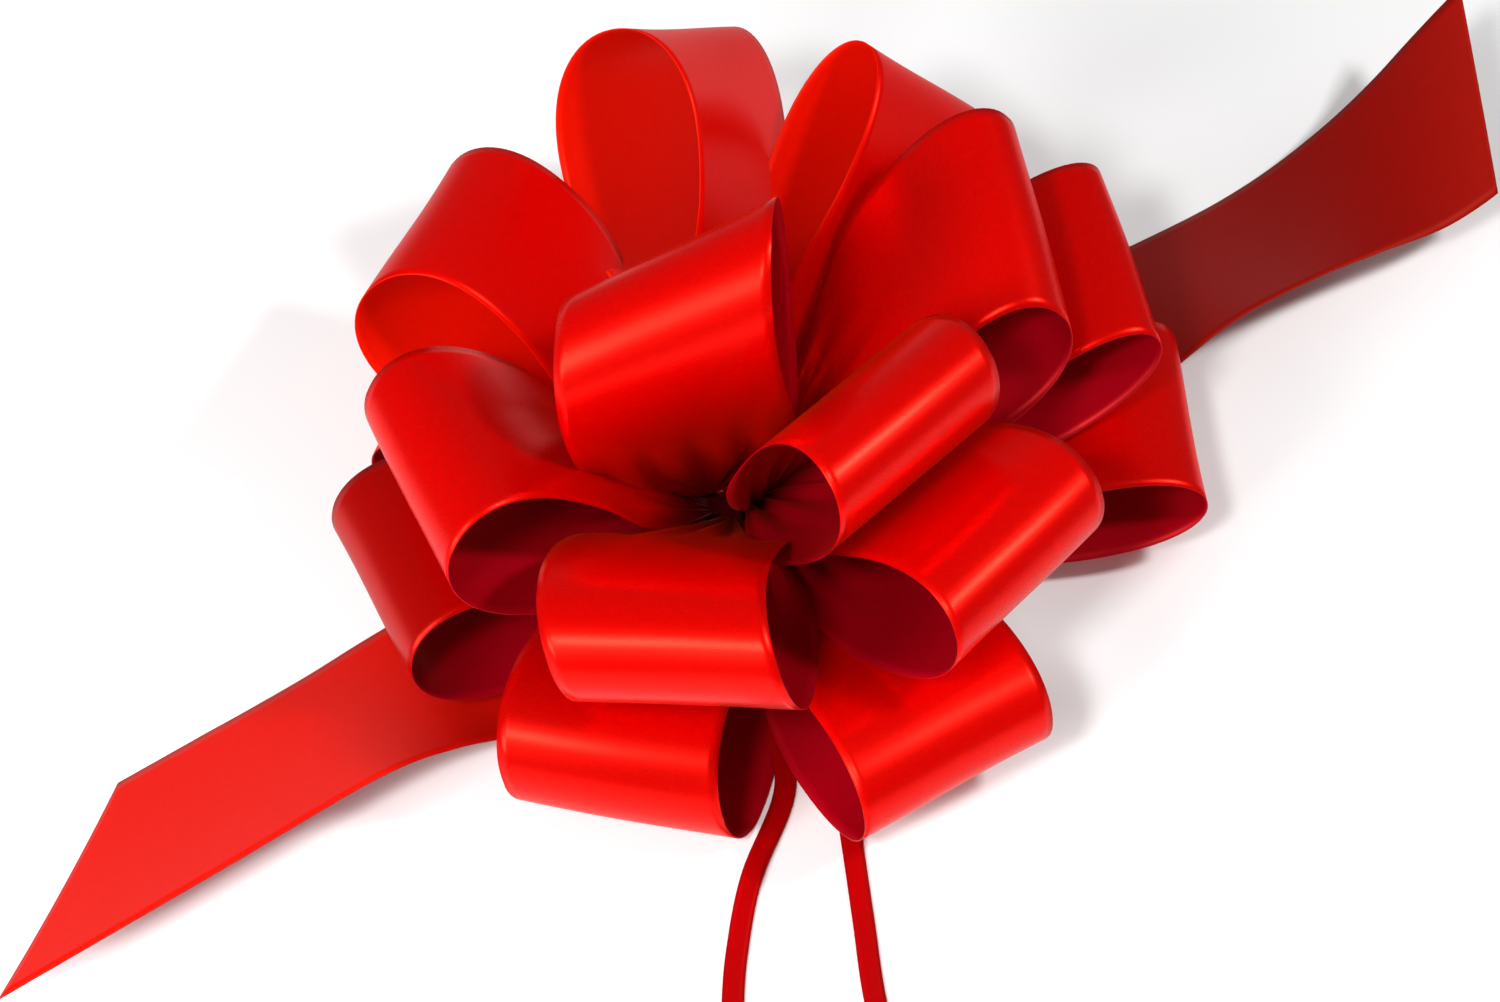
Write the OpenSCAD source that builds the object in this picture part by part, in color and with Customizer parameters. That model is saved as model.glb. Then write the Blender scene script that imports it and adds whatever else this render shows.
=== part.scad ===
// Gift pull bow: one wide satin ribbon gathered into sixteen loops on two narrow pull strings.
// Origin at the middle of the flat underside, +Z up, +X along the right-hand ribbon tail.

/* [Ribbon] */
// Width of the wide ribbon
ribbon_w = 50; // [46:1:50]
// Thickness of the ribbon solids
ribbon_t = 0.6; // [0.5:0.1:0.7]
// Angle at which a loop spreads to full width from its weld, either side of its middle
flare = 18; // [15:1:18]

/* [Core] */
// Radius of the flat welded base
base_r = 9; // [8:0.5:10]
// Thickness of the base
base_h = 2.4; // [2.4:0.1:2.6]
// Radius of the bundle of strings that the welds are threaded on
core_r = 2; // [1.8:0.1:2]
// Radius of each weld
weld_r = 6; // [5.5:0.5:6]
// Thickness of each weld
weld_h = 0.8; // [0.6:0.1:0.8]
// Distance between the middles of two neighbouring welds
weld_pitch = 1; // [1:0.1:1.2]

/* [Strings] */
// Width of each pull string
string_w = 5; // [4:0.5:5]
// Thickness of each pull string
string_t = 0.8; // [0.6:0.1:0.8]

/* [Hidden] */
$fn = 64;
bore_gap = 0.08;
root_x = 6.8;          // where a loop's two strips part, from the core's axis
tab_w = 3.2;
string_z = 1.2;        // height of a string inside the base
string_gap = 4;        // distance of each string from the middle of its pair
string_heading = -110; // way that both strings leave the base
inner_end = 2.6;       // where the strings begin, from the core's axis

// Each loop: heading, rise of its middle line, reach from the core's axis, half its bulge,
// and roll about its middle line
LOW = [[172, 19, 96, 14, 0], [220, 8.5, 93, 16, 0], [267, 16, 103, 16, 0],
    [336, 11, 112, 11, 0], [349, 26, 113, 11, 0], [30, 31, 114, 13, 60],
    [84, 6, 94, 16, 0], [130, 6, 84, 15, 0]];
MIDDLE = [[171, 38, 98, 14, 0], [227, 34, 104, 16, 0], [285, 34, 104, 15, 0],
    [352, 42, 102, 13, 0], [67, 38, 112, 16, 56], [119, 36, 100, 16, 0]];
TOP = [[281, 56, 97, 14, 0], [172, 84, 95, 15, 78]];
first_weld = 5;        // height of the middle of the lowest loop's weld
top_weld = first_weld + weld_pitch * (len(LOW) + len(MIDDLE) + len(TOP));

// Middle lines of the tails: distance along x, height, roll about the line in degrees
TAIL_LEFT = [[6, 3, 0], [30, 1.8, 0], [60, 1.2, 0], [78, 2.4, 3], [94, 7.2, 14],
    [112, 11, 24], [148, 11.4, 25], [183, 11.4, 25]];
TAIL_RIGHT = [[6, 4, 0], [30, 2.2, 0], [60, 1.2, 0], [90, 1.6, -1], [114, 6.6, -13],
    [136, 11, -24], [160, 12, -24], [182, 15, -18], [202, 21, -7], [222, 32, 6]];
left_heading = 182;
right_heading = -2;
left_cut = 25;         // how much further one edge of a tail reaches than its middle
right_cut = 13;
cut_from = 120;        // where a tail's cut begins to slant its stations

// Middle lines of the pull strings, from the base out along the surface it stands on
STRING_A = [[-23, -54, 0.5], [-31, -69, 0.5], [-49, -83, 0.5], [-62, -97, 0.5],
    [-71, -109, 0.5], [-83, -127, 0.5], [-92, -148, 0.5], [-95, -170, 0.5],
    [-89, -191, 0.5], [-75, -207, 0.5], [-56, -214, 0.5], [-36, -212, 0.5]];
STRING_B = [[-15, -56, 0.5], [-18, -73, 0.5], [-25, -88, 0.5], [-34, -106, 0.5],
    [-43, -124, 0.5], [-50, -143, 0.5], [-52, -162, 0.5], [-46, -180, 0.5],
    [-33, -193, 0.5], [-15, -199, 0.5], [6, -198, 0.5], [26, -192, 0.5]];

function weld_z(level) = first_weld + weld_pitch * level;
function unit(v) = v / norm(v);

// A welded neck of the ribbon: a small disc threaded on the strings
module weld(z) {
    translate([0, 0, z - weld_h / 2]) difference() {
        cylinder(r = weld_r, h = weld_h);
        translate([0, 0, -1]) cylinder(r = core_r + bore_gap, h = weld_h + 2);
    }
}

// Side view of a loop: two straight strips that part at the root and join round the tip
module loop_outline(length, bulge) {
    middle = length - bulge;
    half_angle = asin(bulge / middle);
    inner = bulge - ribbon_t;
    inner_root = ribbon_t / sin(half_angle);
    difference() {
        union() {
            translate([middle, 0]) circle(r = bulge);
            polygon([[0, 0],
                [middle - bulge * sin(half_angle), bulge * cos(half_angle)],
                [middle - bulge * sin(half_angle), -bulge * cos(half_angle)]]);
        }
        translate([middle, 0]) circle(r = inner);
        polygon([[inner_root, 0],
            [middle - inner * sin(half_angle), inner * cos(half_angle)],
            [middle - inner * sin(half_angle), -inner * cos(half_angle)]]);
    }
}

// Plan view of a loop: narrow at the weld, spreading to the ribbon's width
module loop_plan(length) {
    narrow = 1;
    full = (ribbon_w / 2 - narrow) / tan(flare);
    polygon([[-1, -narrow], [-1, narrow], [full, ribbon_w / 2], [length + 1, ribbon_w / 2],
        [length + 1, -ribbon_w / 2], [full, -ribbon_w / 2]]);
}

// One loop of ribbon between two welds, drawn as a single weld
module ribbon_loop(row, level) {
    length = row[2] - root_x;
    color([0.86, 0.02, 0.03]) rotate([0, 0, row[0]]) {
        weld(weld_z(level));
        translate([weld_r - 1, -tab_w / 2, weld_z(level) - weld_h / 2])
            cube([root_x - weld_r + 3, tab_w, weld_h]);
        translate([root_x, 0, weld_z(level)]) rotate([0, -row[1], 0]) rotate([row[4], 0, 0])
        intersection() {
            rotate([90, 0, 0])
                linear_extrude(height = ribbon_w + 2, center = true)
                    loop_outline(length, row[3]);
            translate([0, 0, -ribbon_w]) linear_extrude(height = 2 * ribbon_w) loop_plan(length);
        }
    }
}

// Four corners of a tail's section at one point of its line, as wide as the flare allows
function tail_width(x) = min(ribbon_w / 2, 2 + max(0, x - 6) * tan(flare));
function tail_section(line, i, cut) =
    let (p = line[i])
    let (before = line[max(0, i - 1)])
    let (after = line[min(len(line) - 1, i + 1)])
    let (along = unit([after[0] - before[0], 0, after[1] - before[1]]))
    let (side = [0, cos(p[2]), sin(p[2])])
    let (face = unit(cross(along, side)))
    let (half = tail_width(p[0]))
    let (t = max(0, (p[0] - cut_from) / (line[len(line) - 1][0] - cut_from)))
    let (slant = cut * t * t * (3 - 2 * t))
    let (middle = [p[0], 0, p[1]])
    [for (c = [[-1, -1], [1, -1], [1, 1], [-1, 1]])
        middle + c[0] * half * side + c[1] * ribbon_t / 2 * face + c[0] * slant * along];

// Two triangles between one station and the next, on either diagonal
function band_quad(a, b, n, rising) = rising
    ? [[a, a + n, b + n], [a, b + n, b]]
    : [[a, a + n, b], [a + n, b + n, b]];

// A ring of points at each station, joined into one closed band, whose upper and lower faces
// share their diagonals so that they stay apart where it twists
module band(rings) {
    n = len(rings[0]);
    last = (len(rings) - 1) * n;
    polyhedron(
        points = [for (ring = rings) each ring],
        faces = concat(
            [[for (k = [0:n - 1]) k]],
            [for (i = [0:len(rings) - 2]) for (k = [0:n - 1])
                each band_quad(i * n + k, i * n + (k + 1) % n, n, k < n / 2)],
            [[for (k = [n - 1:-1:0]) last + k]]));
}

// Points of a smooth line through the given ones
function smooth_point(p, i, t) =
    let (a = p[max(0, i - 1)])
    let (b = p[i])
    let (c = p[i + 1])
    let (d = p[min(len(p) - 1, i + 2)])
    (2 * b + (c - a) * t + (2 * a - 5 * b + 4 * c - d) * t * t
        + (3 * b - a - 3 * c + d) * t * t * t) / 2;
function smooth_line(p, steps) = concat(
    [for (i = [0:len(p) - 2]) for (k = [0:steps - 1]) smooth_point(p, i, k / steps)],
    [p[len(p) - 1]]);

module tail(line, level, cut, shade) {
    z = base_h + 0.6 + level * weld_pitch;
    stations = smooth_line(line, 3);
    color(shade) union() {
        weld(z);
        translate([weld_r - 1, -tab_w / 2, z - weld_h / 2]) cube([3, tab_w, weld_h]);
        band([for (i = [0:len(stations) - 1]) tail_section(stations, i, cut)]);
    }
}

// Route of a string: straight out of the base along its heading, then through its points
function heading() = [cos(string_heading), sin(string_heading), 0];
function beside() = [-sin(string_heading), cos(string_heading), 0];
function string_route(points, side) = concat(
    [for (d = [inner_end, 20]) d * heading() + side * string_gap * beside() + [0, 0, string_z]],
    [45 * heading() + side * string_gap * beside() + [0, 0, 0.7]],
    points);
function string_section(line, i) =
    let (along = unit(line[min(len(line) - 1, i + 1)] - line[max(0, i - 1)]))
    let (side = unit([-along[1], along[0], 0]))
    [for (a = [0:45:315])
        line[i] + side * string_w / 2 * cos(a) + [0, 0, string_t / 2 * sin(a)]];

module pull_string(points, side) {
    line = smooth_line(string_route(points, side), 3);
    color([0.72, 0.02, 0.03]) band([for (i = [0:len(line) - 1]) string_section(line, i)]);
}

// Flat underside of the gather, with a slot for each string
module base_weld() {
    slot_w = string_w + 0.8;
    slot_h = string_t + 0.6;
    color([0.55, 0.01, 0.03]) difference() {
        cylinder(r = base_r, h = base_h);
        rotate([0, 0, string_heading])
            for (side = [-1, 1])
                translate([inner_end - 0.4, side * string_gap - slot_w / 2, string_z - slot_h / 2])
                    cube([base_r, slot_w, slot_h]);
    }
}

// The inner run of the two strings, drawn as one round bundle
module string_core() {
    color([0.62, 0.02, 0.03])
        translate([0, 0, base_h]) cylinder(r = core_r, h = top_weld - base_h - weld_h / 2);
}

// The end weld that holds the strings at the top of the gather
module top_anchor() {
    color([0.5, 0.01, 0.03])
        translate([0, 0, top_weld - weld_h / 2]) cylinder(r = 4, h = weld_h);
}

base_weld();
string_core();
top_anchor();
rotate([0, 0, left_heading]) tail(TAIL_LEFT, 0, left_cut, [0.93, 0.1, 0.03]);  // tail_left
rotate([0, 0, right_heading]) tail(TAIL_RIGHT, 1, right_cut, [0.6, 0.01, 0.02]);  // tail_right
pull_string(STRING_A, -1);  // pull_string_a
pull_string(STRING_B, 1);  // pull_string_b
for (i = [1:len(LOW)])
    ribbon_loop(LOW[i - 1], i - 1);
for (i = [1:len(MIDDLE)])
    ribbon_loop(MIDDLE[i - 1], len(LOW) + i - 1);
for (i = [1:len(TOP)])
    ribbon_loop(TOP[i - 1], len(LOW) + len(MIDDLE) + i - 1);
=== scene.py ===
"""Gift pull bow: satin ribbon loops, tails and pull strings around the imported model. Metres."""
import math

import bpy
from mathutils import Matrix, Vector


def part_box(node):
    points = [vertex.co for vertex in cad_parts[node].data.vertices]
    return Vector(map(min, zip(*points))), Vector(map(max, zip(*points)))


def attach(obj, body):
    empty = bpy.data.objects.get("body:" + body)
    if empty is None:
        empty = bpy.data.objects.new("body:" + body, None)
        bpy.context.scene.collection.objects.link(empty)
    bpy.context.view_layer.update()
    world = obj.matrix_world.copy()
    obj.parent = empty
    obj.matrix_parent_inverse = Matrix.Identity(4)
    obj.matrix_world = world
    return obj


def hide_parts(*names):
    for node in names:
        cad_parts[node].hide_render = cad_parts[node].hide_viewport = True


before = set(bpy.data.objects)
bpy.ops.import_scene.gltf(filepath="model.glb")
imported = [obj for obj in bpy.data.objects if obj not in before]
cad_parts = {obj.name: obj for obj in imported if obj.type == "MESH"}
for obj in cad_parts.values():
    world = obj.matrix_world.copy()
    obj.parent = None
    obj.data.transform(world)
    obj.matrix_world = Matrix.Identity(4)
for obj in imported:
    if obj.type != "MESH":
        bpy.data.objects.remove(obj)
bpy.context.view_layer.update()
MM = 0.001
RIBBON_WIDTH = 50.0          # in millimetres, like every length below that MM has yet to scale
HALF_WIDTH = RIBBON_WIDTH / 2

# ---------------------------------------------------------------- camera

PHOTO_AZIMUTH = math.radians(-33)
PHOTO_ELEVATION = math.radians(55)
CAMERA_DISTANCE = 0.8
LENS_MM, SENSOR_MM = 78.7, 36
LOOK_RIGHT, LOOK_UP = 0.0037, 0.0066      # the picture's middle, beside the bow's base


def make_camera():
    flat = Vector((math.sin(PHOTO_AZIMUTH), -math.cos(PHOTO_AZIMUTH), 0))
    back = flat * math.cos(PHOTO_ELEVATION) + Vector((0, 0, math.sin(PHOTO_ELEVATION)))
    right = Vector((math.cos(PHOTO_AZIMUTH), math.sin(PHOTO_AZIMUTH), 0))
    up = back.cross(right)
    data = bpy.data.cameras.new("photo_camera")
    data.lens = LENS_MM
    data.sensor_width = SENSOR_MM
    data.clip_start = 0.01
    camera = bpy.data.objects.new("photo_camera", data)
    bpy.context.scene.collection.objects.link(camera)
    turn = Matrix((right, up, back)).transposed().to_4x4()
    place = back * CAMERA_DISTANCE + right * LOOK_RIGHT + up * LOOK_UP
    camera.matrix_world = Matrix.Translation(place) @ turn
    bpy.context.scene.camera = camera


make_camera()

# ---------------------------------------------------------------- materials

BUMP_STRENGTH, BUMP_DEPTH = 0.06, 0.00012
CORE_SHADE_COLOUR = (0.06, 0.0, 0.003)            # painted shade: the ribbon darkens to this towards the gathered middle, where its folds shade one another
CORE_SHADE_FROM, CORE_SHADE_TO = 0.012, 0.052           # metres from the origin
THREAD_ROUGHNESS = 0.10                     # how much rougher some threads are than others


def satin(name, colour, shade, glow, gloss, glow_share, lustre=0.42):
    """Satin ribbon: fine lengthwise threads, uneven colour, light that comes through, and painted shade
    that darkens it towards the gathered core.
    """
    material = bpy.data.materials.new(name)
    material.use_nodes = True
    nodes, links = material.node_tree.nodes, material.node_tree.links
    nodes.clear()
    out = nodes.new("ShaderNodeOutputMaterial")
    mix = nodes.new("ShaderNodeMixShader")
    mix.inputs["Fac"].default_value = glow_share
    surface = nodes.new("ShaderNodeBsdfPrincipled")
    through = nodes.new("ShaderNodeBsdfTranslucent")
    through.inputs["Color"].default_value = (*glow, 1)
    uv = nodes.new("ShaderNodeUVMap")
    uv.uv_map = "ribbon"

    def noise(scale_across, scale_along, size, detail):
        place = nodes.new("ShaderNodeMapping")
        place.inputs["Scale"].default_value = (scale_across, scale_along, 1)
        links.new(uv.outputs["UV"], place.inputs["Vector"])
        texture = nodes.new("ShaderNodeTexNoise")
        texture.inputs["Scale"].default_value = size
        texture.inputs["Detail"].default_value = detail
        links.new(place.outputs["Vector"], texture.inputs["Vector"])
        return texture

    threads = noise(60, 2.5, 30, 3)        # the grain that runs along the ribbon
    weft = noise(3, 40, 30, 2)
    clouds = noise(1, 1, 26, 3)
    grain = nodes.new("ShaderNodeMath")
    grain.operation = "ADD"
    links.new(threads.outputs["Fac"], grain.inputs[0])
    links.new(weft.outputs["Fac"], grain.inputs[1])
    bump = nodes.new("ShaderNodeBump")
    bump.inputs["Strength"].default_value = BUMP_STRENGTH
    bump.inputs["Distance"].default_value = BUMP_DEPTH
    links.new(grain.outputs["Value"], bump.inputs["Height"])
    links.new(bump.outputs["Normal"], surface.inputs["Normal"])

    blend = nodes.new("ShaderNodeMix")
    blend.data_type = "RGBA"
    blend.inputs["A"].default_value = (*colour, 1)
    blend.inputs["B"].default_value = (*shade, 1)
    links.new(clouds.outputs["Fac"], blend.inputs["Factor"])
    # painted shade: the colour fades to the core's dark red near the middle of the bow, where the folds
    # shade one another
    where = nodes.new("ShaderNodeTexCoord")
    reach = nodes.new("ShaderNodeVectorMath")
    reach.operation = "LENGTH"
    links.new(where.outputs["Object"], reach.inputs[0])
    near = nodes.new("ShaderNodeMapRange")
    near.interpolation_type = "SMOOTHSTEP"
    near.inputs["From Min"].default_value = CORE_SHADE_FROM
    near.inputs["From Max"].default_value = CORE_SHADE_TO
    links.new(reach.outputs["Value"], near.inputs["Value"])
    core_shade = nodes.new("ShaderNodeMix")
    core_shade.data_type = "RGBA"
    core_shade.inputs["A"].default_value = (*CORE_SHADE_COLOUR, 1)
    links.new(near.outputs["Result"], core_shade.inputs["Factor"])
    links.new(blend.outputs["Result"], core_shade.inputs["B"])
    links.new(core_shade.outputs["Result"], surface.inputs["Base Color"])
    surface.inputs["Metallic"].default_value = lustre

    rough = nodes.new("ShaderNodeMapRange")
    rough.inputs["To Min"].default_value = gloss
    rough.inputs["To Max"].default_value = gloss + THREAD_ROUGHNESS
    links.new(threads.outputs["Fac"], rough.inputs["Value"])
    links.new(rough.outputs["Result"], surface.inputs["Roughness"])
    surface.inputs["Specular IOR Level"].default_value = 0.7
    surface.inputs["Specular Tint"].default_value = (1.0, 0.22, 0.12, 1)
    surface.inputs["Sheen Weight"].default_value = 0.05
    surface.inputs["Sheen Roughness"].default_value = 0.35
    surface.inputs["Sheen Tint"].default_value = (0.9, 0.1, 0.0, 1)
    links.new(surface.outputs["BSDF"], mix.inputs[1])
    links.new(through.outputs["BSDF"], mix.inputs[2])
    links.new(mix.outputs["Shader"], out.inputs["Surface"])
    return material


# name, colour, shade, the colour of light that comes through, gloss, how much comes through, lustre
RIBBON = satin("red_satin", (0.84, 0.0, 0.0), (0.66, 0.0, 0.0), (1.0, 0.01, 0.0), 0.23, 0.12)
# the reverse side: its darker colour is partly the duller back of the satin and partly painted shade
# for the insides of the loops
REVERSE_AND_SHADE = satin("red_satin_reverse_and_shade", (0.50, 0.0, 0.008), (0.40, 0.0, 0.012), (1.0, 0.04, 0.0),
               0.36, 0.18, 0.25)
# painted light: a brighter copy of the reverse, with more light let through, for loop insides that glow
PAINTED_GLOW_REVERSE = satin("red_satin_reverse_painted_glow", (1.0, 0.012, 0.0), (0.86, 0.004, 0.0), (1.0, 0.12, 0.0),
                0.34, 0.50, 0.08)
# a copy of the ribbon that lets more light through, so that the insides behind it glow; the ribbon is
# no thinner there
LIT_THROUGH_FRONT = satin("red_satin_front_lit_through", (0.84, 0.0, 0.0), (0.66, 0.0, 0.0), (1.0, 0.08, 0.0), 0.26, 0.38, 0.34)
# painted shade: a darker copy of the ribbon for one loop that lies in shade
SHADED = satin("red_satin_shaded", (0.46, 0.0, 0.0), (0.36, 0.0, 0.0), (0.7, 0.0, 0.0),
               0.28, 0.08, 0.34)
# painted light: a matte copy of the ribbon that reads brighter, for the lit left tail
PAINTED_LIT_TAIL = satin("red_satin_tail_painted_light", (0.74, 0.004, 0.0), (0.66, 0.002, 0.0), (1.0, 0.02, 0.0),
             0.46, 0.10, 0.0)
# painted shade: a dark copy of the ribbon for both sides of the right tail, which lies in shade
PAINTED_DARK_TAIL = satin("red_satin_tail_painted_shade", (0.30, 0.0, 0.0), (0.23, 0.0, 0.0), (0.4, 0.0, 0.0), 0.5, 0.06, 0.1)
STRING = satin("string_satin", (0.58, 0.0, 0.0), (0.42, 0.0, 0.004), (0.8, 0.02, 0.0), 0.3, 0.12)
WELD = satin("welded_ribbon", (0.20, 0.0, 0.004), (0.12, 0.0, 0.004), (0.3, 0.0, 0.0), 0.5, 0.04, 0.0)

# ---------------------------------------------------------------- mesh helpers

RIBBON_THICKNESS = 0.28 * MM
STRING_THICKNESS = 0.22 * MM
BUNDLE_THICKNESS = 0.2 * MM


def smoothstep(low, high, x):
    t = min(1, max(0, (x - low) / (high - low)))
    return t * t * (3 - 2 * t)


def soft_min(a, b, ease):
    return (a + b - math.sqrt((a - b) ** 2 + ease ** 2)) / 2


def smooth_line(points, steps):
    """A smooth line through the given points, as part.scad draws it."""
    line = []
    for i in range(len(points) - 1):
        a, b, c, d = (Vector(points[min(max(j, 0), len(points) - 1)]) for j in range(i - 1, i + 3))
        for k in range(steps):
            t = k / steps
            line.append((2 * b + (c - a) * t + (2 * a - 5 * b + 4 * c - d) * t * t
                         + (3 * b - a - 3 * c + d) * t ** 3) / 2)
    line.append(Vector(points[-1]))
    return line


def sheet_mesh(name, rows, thickness, front, back):
    """A thin two-sided ribbon through rows of points in millimetres, with its length in its UVs."""
    across = len(rows[0])
    verts = [p * MM for row in rows for p in row]
    faces = [(i * across + k, i * across + k + 1, (i + 1) * across + k + 1, (i + 1) * across + k)
             for i in range(len(rows) - 1) for k in range(across - 1)]
    mesh = bpy.data.meshes.new(name)
    mesh.from_pydata(verts, [], faces)
    along, length = [0.0], 0.0
    middle = across // 2
    for a, b in zip(rows, rows[1:]):
        length += (b[middle] - a[middle]).length
        along.append(length / RIBBON_WIDTH)
    layer = mesh.uv_layers.new(name="ribbon")
    for loop in mesh.loops:
        row, column = divmod(loop.vertex_index, across)
        layer.data[loop.index].uv = (column / (across - 1), along[row])
    mesh.shade_smooth()
    piece = bpy.data.objects.new(name, mesh)
    bpy.context.scene.collection.objects.link(piece)
    mesh.materials.append(back)           # the faces as made look into a loop, and down from a tail
    mesh.materials.append(front)
    solid = piece.modifiers.new("thickness", "SOLIDIFY")
    solid.thickness = thickness
    solid.offset = 0
    solid.material_offset = 1
    solid.use_even_offset = False
    made = bpy.data.meshes.new_from_object(
        piece.evaluated_get(bpy.context.evaluated_depsgraph_get()))
    piece.modifiers.clear()
    piece.data = made
    made.name = name
    return piece


# ---------------------------------------------------------------- pull strings

STRING_HEADING = math.radians(-110)
STRING_WIDTH = 5.0
STRING_GAP = 4.0
STRING_A = [(-23, -54, 0.5), (-31, -69, 0.5), (-49, -83, 0.5), (-62, -97, 0.5), (-71, -109, 0.5),
            (-83, -127, 0.5), (-92, -148, 0.5), (-95, -170, 0.5), (-89, -191, 0.5),
            (-75, -207, 0.5), (-56, -214, 0.5), (-36, -212, 0.5)]
STRING_B = [(-15, -56, 0.5), (-18, -73, 0.5), (-25, -88, 0.5), (-34, -106, 0.5), (-43, -124, 0.5),
            (-50, -143, 0.5), (-52, -162, 0.5), (-46, -180, 0.5), (-33, -193, 0.5),
            (-15, -199, 0.5), (6, -198, 0.5), (26, -192, 0.5)]


def pull_string(name, node, points, side, phase):
    """A narrow flat ribbon that leaves the base straight and then lies on the surface."""
    heading = Vector((math.cos(STRING_HEADING), math.sin(STRING_HEADING), 0))
    beside = Vector((-heading.y, heading.x, 0)) * side * STRING_GAP
    start = [heading * d + beside + Vector((0, 0, z)) for d, z in ((2.6, 1.2), (20, 1.2), (45, 0.7))]
    line = smooth_line(start + [Vector(p) for p in points], 8)
    rows = []
    for i, p in enumerate(line):
        along = (line[min(len(line) - 1, i + 1)] - line[max(0, i - 1)]).normalized()
        flat = Vector((-along.y, along.x, 0)).normalized()
        ripple = 0.12 * math.sin(i * 0.35 + phase)
        cut = 1.6 if i == len(line) - 1 else 0      # the free end is cut at a slant
        rows.append([p + flat * v * STRING_WIDTH / 2 + along * v * cut
                     + Vector((0, 0, ripple * v + 0.12 * (1 - v * v)))
                     for v in (-1, -0.5, 0, 0.5, 1)])
    piece = sheet_mesh(name, rows, STRING_THICKNESS, STRING, STRING)
    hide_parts(node)
    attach(piece, node)


pull_string("narrow_string_a", "pull_string_a", STRING_A, -1, 0.0)
pull_string("narrow_string_b", "pull_string_b", STRING_B, 1, 1.7)

# ---------------------------------------------------------------- loops

ROOT_X = 6.8                 # where a loop's strips part, from the core's axis
CORE_X = 2.2                 # where a loop's neck meets the strings
FIRST_WELD, WELD_PITCH = 5.0, 1.0

# heading, rise, reach and half bulge, close to the CAD's but shifted towards the photo; then the roll,
# how fast the ribbon spreads, how its far end twists, how far its end slants, how much wider one mouth
# is than the other, and how far one strip is carried sideways past the other
LOW = [(172, 18, 96, 13.5, 0, 0.46, 5, 0, 0, -0.2), (220, 9, 93, 16, 0, 0.52, -4, -0.16, 0, -0.35),
       (267, 14.5, 103, 15, 0, 0.46, 2, 0, 0, 0.1), (335, 8.5, 112, 9.5, 0, 0.44, 0, 0.05, 0, 0.3),
       (349.5, 27.5, 113, 9.8, 0, 0.42, 0, 0.18, 0, 0.3), (29, 31, 114, 12.5, 60, 0.40, 0, 0, 0.08, 0),
       (82, 6, 94, 14, 0, 0.42, 0, 0, 0, 0), (127, 6, 84, 14, 0, 0.46, 0, 0, 0, 0)]
MIDDLE = [(171, 38.5, 98, 13.5, 4, 0.54, -2, 0, 0.05, -0.3), (227, 36, 104, 15, 6, 0.58, 1, 0, 0, -0.3),
          (285, 35, 104, 13.5, 0, 0.50, 0, 0, 0, 0.25), (351, 44, 102, 12.3, 0, 0.50, 2, 0.32, 0, 0.4),
          (66.5, 38, 112, 16, 50, 0.45, 0, 0, 0.25, 0),
          (121, 35.5, 100, 15.5, 9, 0.47, 2, 0, 0.10, -0.25)]
TOP = [(282, 59, 98, 13, 0, 0.64, 0, 0, 0, 0.2), (178, 83, 95, 15, 74, 1.5, -3, 0.34, 0.1, 0.32)]

FULLNESS = 2.1               # how far out along a loop its bulge lies
STATIONS, ACROSS = 104, 21
COLUMNS = [2 * k / (ACROSS - 1) - 1 for k in range(ACROSS)]
PLEATS = 4.5 * math.pi       # four and a half pleats across the gathered ribbon
GATHERED_HALF = 2.6          # half the ribbon's width where it is gathered
WIDTH_EASE = 5               # how softly the spreading ribbon reaches its full width
STRIP_GAP = 0.22             # from a loop's middle to each of its two strips, at the neck
LOWEST = 0.4                 # the ribbon rests on the surface below it
FULLEST = math.atan(math.sqrt(FULLNESS + 1))
PEAK = 2 * math.cos(FULLEST) * math.sin(FULLEST) ** (FULLNESS + 1)


def half_width(x, spread):
    return soft_min(GATHERED_HALF + spread * x, HALF_WIDTH, WIDTH_EASE)


def loop_rows(row, level):
    heading, rise, reach, bulge, roll, spread, twist, slant, mouth, helix = row
    length = reach - ROOT_X
    place = (Matrix.Rotation(math.radians(heading), 4, "Z")
             @ Matrix.Translation((ROOT_X, 0, FIRST_WELD + WELD_PITCH * level))
             @ Matrix.Rotation(-math.radians(rise), 4, "Y")
             @ Matrix.Rotation(math.radians(roll), 4, "X"))
    phase = 1.9 * level
    rows = []
    for i in range(STATIONS + 1):
        angle = math.pi * i / STATIONS
        lift = max(0.0, math.sin(angle))
        out = lift ** 2
        x = length * out
        y = bulge / PEAK * 2 * math.cos(angle) * lift ** (FULLNESS + 1)
        side = 1 if i <= STATIONS / 2 else -1
        half = half_width(x, spread)
        cup = 0.85 * (1 - smoothstep(4, 29 / spread, x))
        pleat = 2.1 * (1 - smoothstep(2, 58, x)) * smoothstep(-4, 9, x)
        turn = math.radians(twist) * out ** 2
        points = []
        for v in COLUMNS:
            fold = pleat * math.cos(PLEATS * v + phase + side)
            drift = 0.35 * math.sin(2.2 * v + phase) * out
            across = v * half + helix * y
            up = (y * (1 + mouth * v) * (1 - cup * v * v) + side * (STRIP_GAP + 0.12 * fold)
                  + 0.8 * fold * side * min(1, x / 25))
            point = place @ Vector((
                x + drift + slant * across * out,
                across * math.cos(turn) - up * math.sin(turn),
                across * math.sin(turn) + up * math.cos(turn)))
            point.z = max(point.z, LOWEST)
            points.append(point)
        rows.append(points)
    # the neck, pleated down to the strings
    neck = Matrix.Rotation(math.radians(heading), 4, "Z")
    height = FIRST_WELD + WELD_PITCH * level
    for side in (1, -1):
        ends = []
        for x in (CORE_X, 3.6, 5.2):
            half = 2.0 + 0.12 * x
            ends.append([neck @ Vector((x, v * half,
                                        height + side * (STRIP_GAP + 0.1 * math.cos(PLEATS * v))))
                         for v in COLUMNS])
        rows = ends + rows if side == 1 else rows + ends[::-1]
    return rows


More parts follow.
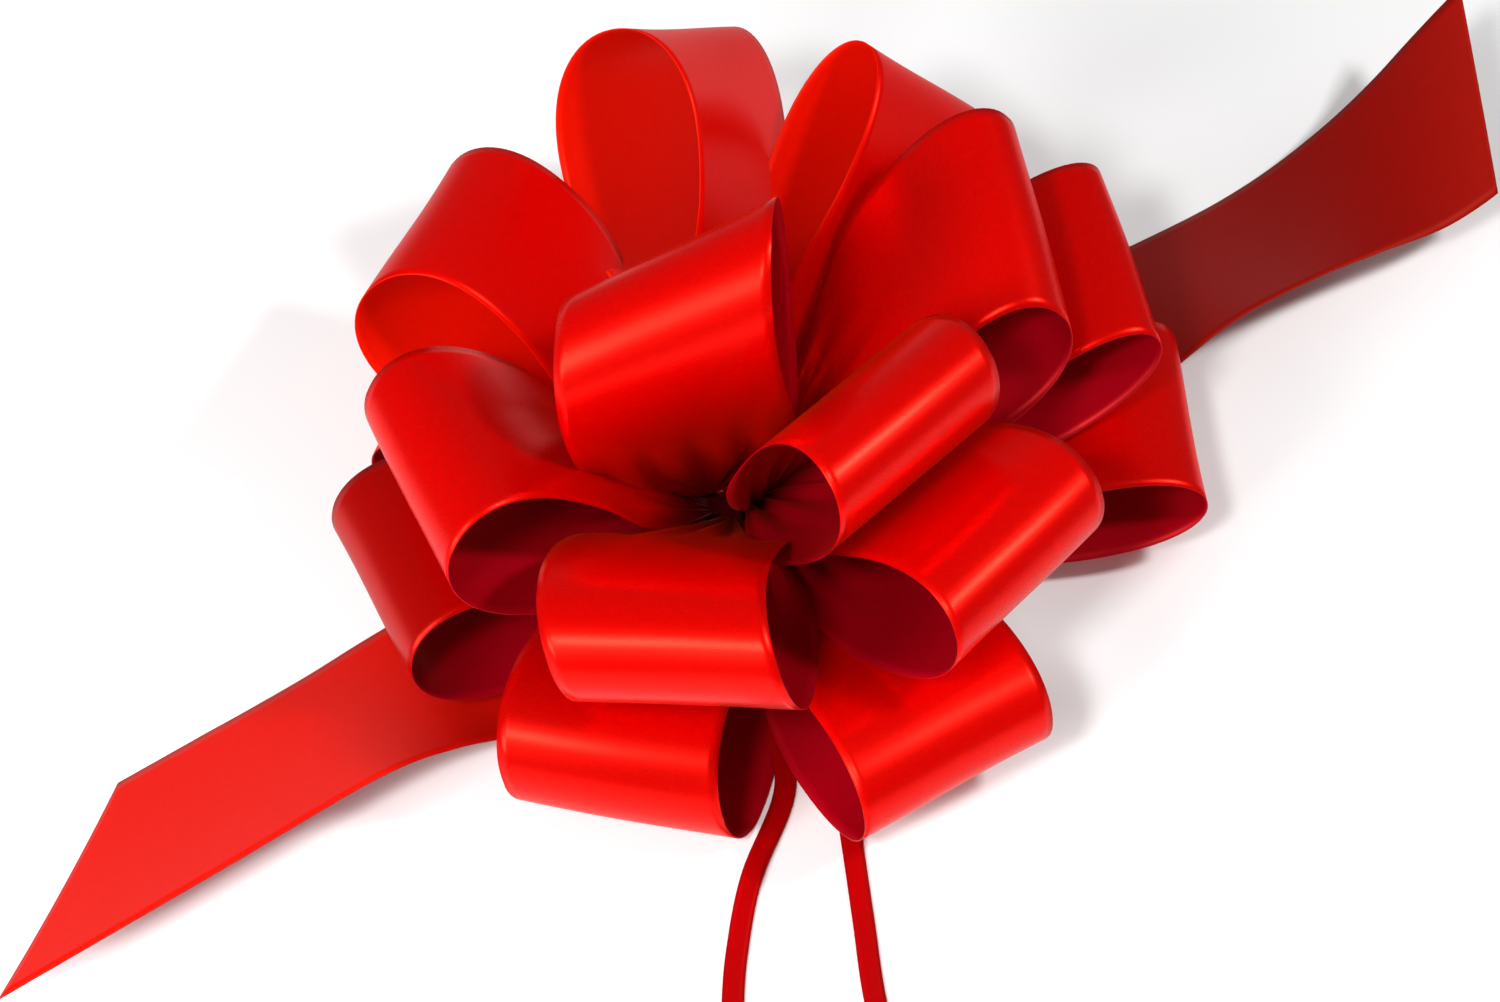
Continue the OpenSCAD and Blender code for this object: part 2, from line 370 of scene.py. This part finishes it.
# outside and inside of three loops with painted light, a more translucent front and a brighter reverse
# that make their insides glow, and of one loop with painted shade, a darker outside
LOOP_LOOKS = {"middle_loop_5": (LIT_THROUGH_FRONT, PAINTED_GLOW_REVERSE), "middle_loop_6": (LIT_THROUGH_FRONT, PAINTED_GLOW_REVERSE),
              "low_loop_6": (LIT_THROUGH_FRONT, PAINTED_GLOW_REVERSE), "low_loop_1": (SHADED, REVERSE_AND_SHADE)}


def ribbon_loop(node, row, level):
    rows = loop_rows(row, level)
    front, back = LOOP_LOOKS.get(node, (RIBBON, REVERSE_AND_SHADE))
    piece = sheet_mesh(node.replace("loop", "ribbon_loop"), rows, RIBBON_THICKNESS, front, back)
    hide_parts(node)
    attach(piece, node)


def all_loops():
    level = 0
    for tier, rows in (("low", LOW), ("middle", MIDDLE), ("top", TOP)):
        for number, row in enumerate(rows, 1):
            ribbon_loop(f"{tier}_loop_{number}", row, level)
            level += 1


all_loops()

# ---------------------------------------------------------------- tails

# distance along the tail, height, and roll in degrees
TAIL_LEFT = [(6, 3, 0), (30, 1.8, 0), (60, 1.6, 1), (76, 4.2, 9), (93, 9.0, 19), (112, 11.4, 25),
             (148, 11.4, 25), (183, 11.4, 25)]
TAIL_RIGHT = [(6, 4, 0), (30, 2.2, 0), (60, 1.2, 0), (90, 2.4, -4), (111, 7.6, -16), (132, 11, -24),
              (160, 12, -24), (182, 15, -18), (202, 21, -7), (222, 32, 6)]
LEFT_CUT, RIGHT_CUT = 25, 13     # how far the slanted end leads or trails at each edge
CUT_FROM = 120
TAIL_ROOT, TAIL_SPREAD = 6, 0.42


def tail(name, node, line, heading, cut, front, back):
    stations = smooth_line(line, 12)
    turn = Matrix.Rotation(math.radians(heading), 4, "Z")
    rows = [[turn @ Vector((CORE_X, v * 2.2, line[0][1] + 0.15 * math.cos(PLEATS * v)))
             for v in COLUMNS]]
    for i, (x, z, roll) in enumerate(stations):
        half = half_width(x - TAIL_ROOT, TAIL_SPREAD)
        share = smoothstep(CUT_FROM, line[-1][0], x)      # the slanted end spreads back along the tail
        near = stations[max(0, i - 1)]
        far = stations[min(len(stations) - 1, i + 1)]
        along = Vector((far[0] - near[0], 0, far[1] - near[1])).normalized()
        side = Vector((0, math.cos(math.radians(roll)), math.sin(math.radians(roll))))
        face = along.cross(side).normalized()
        points = []
        for v in COLUMNS:
            pleat = 0.7 * (1 - smoothstep(TAIL_ROOT, 50, x)) * math.cos(PLEATS * v)
            crown = 0.9 * (1 - v * v) * smoothstep(60, 120, x)
            points.append(turn @ (Vector((x, 0, z)) + side * v * half
                                  + along * v * cut * share + face * (pleat * 0.4 - crown)))
        rows.append(points)
    piece = sheet_mesh(name, rows, RIBBON_THICKNESS, front, back)
    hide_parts(node)
    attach(piece, node)


# the left tail wears the copy with painted light, the right tail the copy with painted shade
tail("ribbon_tail_left", "tail_left", TAIL_LEFT, 182, LEFT_CUT, PAINTED_LIT_TAIL, REVERSE_AND_SHADE)
tail("ribbon_tail_right", "tail_right", TAIL_RIGHT, -2, RIGHT_CUT, PAINTED_DARK_TAIL, PAINTED_DARK_TAIL)

# ---------------------------------------------------------------- gathered core


def pleated_disc(name, node, radius, low, high, folds):
    """A gathered end of ribbon: a low crown of pleats round the strings."""
    around, rings = 144, (0.12, 0.45, 0.75, 0.93, 1.0, 0.93, 0.75, 0.45, 0.12)
    verts, faces = [], []
    for j, share in enumerate(rings):
        top = j < 5
        for k in range(around):
            a = 2 * math.pi * k / around
            wave = math.cos(folds * a + share * 1.5)
            r = radius * share * (1 - 0.07 * (1 - wave) * share)
            edge = 1 - share ** 4
            z = (high - 0.3 + (0.28 * wave) * share * edge) if top else low
            if share == 1.0:
                z = (low + high) / 2
            verts.append(Vector((r * math.cos(a), r * math.sin(a), z)) * MM)
    for j in range(len(rings) - 1):
        for k in range(around):
            n = (k + 1) % around
            faces.append((j * around + k, (j + 1) * around + k, (j + 1) * around + n, j * around + n))
    faces.append(tuple(range(around)))
    faces.append(tuple(reversed(range((len(rings) - 1) * around, len(rings) * around))))
    mesh = bpy.data.meshes.new(name)
    mesh.from_pydata(verts, [], faces)
    layer = mesh.uv_layers.new(name="ribbon")
    for loop in mesh.loops:
        p = mesh.vertices[loop.vertex_index].co
        layer.data[loop.index].uv = (math.atan2(p.y, p.x) / math.pi, p.xy.length / (RIBBON_WIDTH * MM))
    mesh.shade_smooth()
    mesh.materials.append(WELD)
    piece = bpy.data.objects.new(name, mesh)
    bpy.context.scene.collection.objects.link(piece)
    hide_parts(node)
    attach(piece, "core")


def core_bundle():
    """The two strings twisted together through the welds."""
    low, high = (v.z / MM for v in map(Vector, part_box("string_core")))
    rows = []
    steps, round_points = 60, 24
    for i in range(steps + 1):
        z = low + (high - low) * i / steps
        turn = 1.2 * math.pi * i / steps
        ring = []
        for k in range(round_points + 1):
            a = 2 * math.pi * k / round_points
            r = 1.45 + 0.42 * math.cos(2 * (a - turn))
            ring.append(Vector((r * math.cos(a), r * math.sin(a), z)))
        rows.append(ring)
    piece = sheet_mesh("string_bundle", rows, BUNDLE_THICKNESS, STRING, STRING)
    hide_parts("string_core")
    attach(piece, "core")


pleated_disc("gathered_base", "base_weld", 9, 0.0, 2.4, 20)
pleated_disc("top_gather", "top_anchor", 4, 20.6, 21.4, 11)
core_bundle()

# ---------------------------------------------------------------- studio


def plain(name, colour, roughness):
    material = bpy.data.materials.new(name)
    material.use_nodes = True
    surface = material.node_tree.nodes["Principled BSDF"]
    surface.inputs["Base Color"].default_value = (*colour, 1)
    surface.inputs["Roughness"].default_value = roughness
    return material


def soft_light(name, azimuth, elevation, distance, size, power):
    """A rectangular light aimed at the bow, placed by its direction from the bow."""
    a, e = math.radians(azimuth), math.radians(elevation)
    way = Vector((math.sin(a) * math.cos(e), -math.cos(a) * math.cos(e), math.sin(e)))
    data = bpy.data.lights.new(name, "AREA")
    data.shape = "RECTANGLE"
    data.size, data.size_y = size
    data.energy = power
    lamp = bpy.data.objects.new(name, data)
    bpy.context.scene.collection.objects.link(lamp)
    lamp.location = way * distance + Vector((0, 0, 0.05))
    lamp.rotation_euler = way.to_track_quat("Z", "Y").to_euler()


def studio():
    bpy.ops.mesh.primitive_plane_add(size=6, location=(0, 0, -0.0002))
    floor = bpy.context.object
    floor.name = "floor"
    floor.data.materials.append(plain("pale_floor", (0.86, 0.86, 0.86), 0.9))
    world = bpy.data.worlds.new("pale_world")
    world.use_nodes = True
    world.node_tree.nodes["Background"].inputs["Color"].default_value = (1, 1, 1, 1)
    world.node_tree.nodes["Background"].inputs["Strength"].default_value = 0.22
    bpy.context.scene.world = world
    soft_light("side", -76, 28, 0.8, (0.35, 0.3), 6)
    soft_light("left", -58, 54, 1.0, (0.14, 0.14), 5.5)
    soft_light("right", 48, 54, 1.0, (0.12, 0.12), 5.5)
    bpy.context.scene.view_settings.view_transform = "Standard"
    bpy.context.scene.view_settings.look = "None"


studio()
